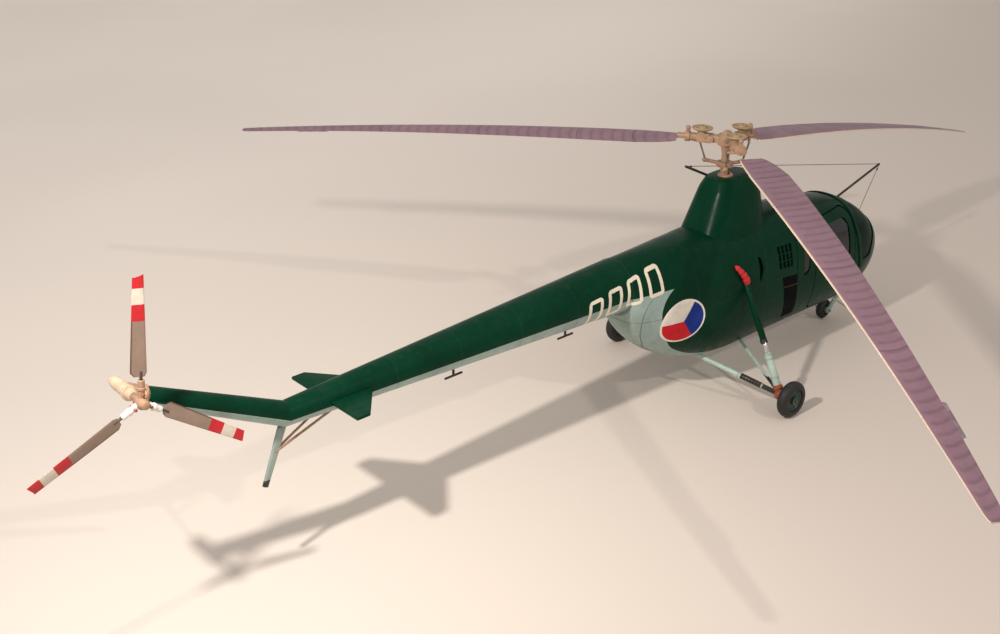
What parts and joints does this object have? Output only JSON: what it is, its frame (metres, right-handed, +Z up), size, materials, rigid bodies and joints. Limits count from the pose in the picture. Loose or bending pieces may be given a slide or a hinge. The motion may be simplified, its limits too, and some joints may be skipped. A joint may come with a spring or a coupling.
{
  "type": "light helicopter scale model",
  "caption": "Scale model of a light single-rotor helicopter: hollow glazed cabin, hinged doors, drooping blades on an articulated head, tail rotor, wheeled undercarriage and tail skid.",
  "frame": {"origin": "the point of the standing surface under the middle of the rotor head", "axes": "+X forward to the nose, +Y to port, +Z up; the part stands on its three wheels on the plane Z = 0"},
  "size_m": [0.4806, 0.3491, 0.1161],
  "materials": {
    "green_gloss": "glossy painted polystyrene, dark green above and pale blue-grey below",
    "window_clear": "clear moulded pane",
    "cabin_grey": "matt dark grey paint",
    "seat_brown": "matt brown paint",
    "black": "satin black-brown paint",
    "tan": "satin sand paint",
    "damper_olive": "satin olive paint",
    "link_dark": "satin dark paint",
    "blade_mauve": "satin mauve-grey paint",
    "tail_blade_taupe": "satin taupe paint with red and white tips",
    "cuff_white": "satin white paint",
    "strut_mint": "satin pale green-grey paint",
    "barrel_green": "glossy dark green paint",
    "skid_grey": "satin grey-green paint",
    "cover_red": "glossy red paint",
    "tyre_black": "matt black moulded tyre",
    "wheel_green": "satin dark green paint"
  },
  "bodies": {
    "airframe": {"aerial_masts": "black", "boarding_steps": "strut_mint", "cabin_floor": "cabin_grey", "cabin_shell": "green_gloss", "control_stick": "black", "engine_bay": "green_gloss", "exhaust_covers": "cover_red", "front_gear_stays": "strut_mint", "gearbox_fairing": "green_gloss", "instrument_panel": "cabin_grey", "main_axles": "strut_mint", "nose_leg": "strut_mint", "oleo_barrels": "barrel_green", "oleo_legs": "strut_mint", "pilot_seat": "seat_brown", "quarter_windows": "window_clear", "rear_bench": "seat_brown", "rear_gear_stays": "strut_mint", "skid_braces": "tan", "stabilizers": "green_gloss", "tail_boom": "green_gloss", "tail_boom_end": "green_gloss", "tail_gearbox": "tan", "tail_skid": "skid_grey", "tee_aerials": "black", "windscreen": "window_clear"},
    "main_rotor": {"rotor_mast": "tan", "rotor_hub": "tan", "blade_grips": "tan", "drag_dampers": "damper_olive", "swashplate": "link_dark", "pitch_links": "link_dark", "main_blade_1": "blade_mauve", "main_blade_2": "blade_mauve", "main_blade_3": "blade_mauve"},
    "tail_rotor": {"tail_rotor_hub": "cuff_white", "tail_blades": "tail_blade_taupe"},
    "wheel_right": {"main_wheel_right_tyre": "tyre_black", "main_wheel_right_hub": "wheel_green"},
    "wheel_left": {"main_wheel_left_tyre": "tyre_black", "main_wheel_left_hub": "wheel_green"},
    "nose_caster": {"nose_fork": "strut_mint"},
    "nose_wheel": {"nose_wheel_tyre": "tyre_black", "nose_wheel_hub": "wheel_green"},
    "door_right_leaf": {"door_right": "green_gloss", "door_window_right": "window_clear"},
    "door_left_leaf": {"door_left": "green_gloss", "door_window_left": "window_clear"}
  },
  "joints": [
    {"name": "main_rotor_turn", "type": "hinge", "parent": "airframe", "child": "main_rotor", "pos_m": [0, 0, 0.0968], "axis": [0.0698, 0, 0.9976], "continuous": true},
    {"name": "tail_rotor_turn", "type": "hinge", "parent": "airframe", "child": "tail_rotor", "pos_m": [-0.2469, -0.0102, 0.0805], "axis": [0, -1, 0], "continuous": true},
    {"name": "main_wheel_right_turn", "type": "hinge", "parent": "airframe", "child": "wheel_right", "pos_m": [-0.0099, -0.0454, 0.00715], "axis": [0, 1, 0], "continuous": true},
    {"name": "main_wheel_left_turn", "type": "hinge", "parent": "airframe", "child": "wheel_left", "pos_m": [-0.0099, 0.0454, 0.00715], "axis": [0, 1, 0], "continuous": true},
    {"name": "nose_caster_turn", "type": "hinge", "parent": "airframe", "child": "nose_caster", "pos_m": [0.077, 0, 0.0096], "axis": [0, 0, 1], "range_deg": [-45, 45]},
    {"name": "nose_wheel_turn", "type": "hinge", "parent": "nose_caster", "child": "nose_wheel", "pos_m": [0.0715, 0, 0.0043], "axis": [0, 1, 0], "continuous": true},
    {"name": "door_right_hinge", "type": "hinge", "parent": "airframe", "child": "door_right_leaf", "pos_m": [0.0645, -0.019, 0.038], "axis": [0, 0, 1], "range_deg": [0, 75]},
    {"name": "door_left_hinge", "type": "hinge", "parent": "airframe", "child": "door_left_leaf", "pos_m": [0.0645, 0.019, 0.038], "axis": [0, 0, -1], "range_deg": [0, 75]}
  ]
}
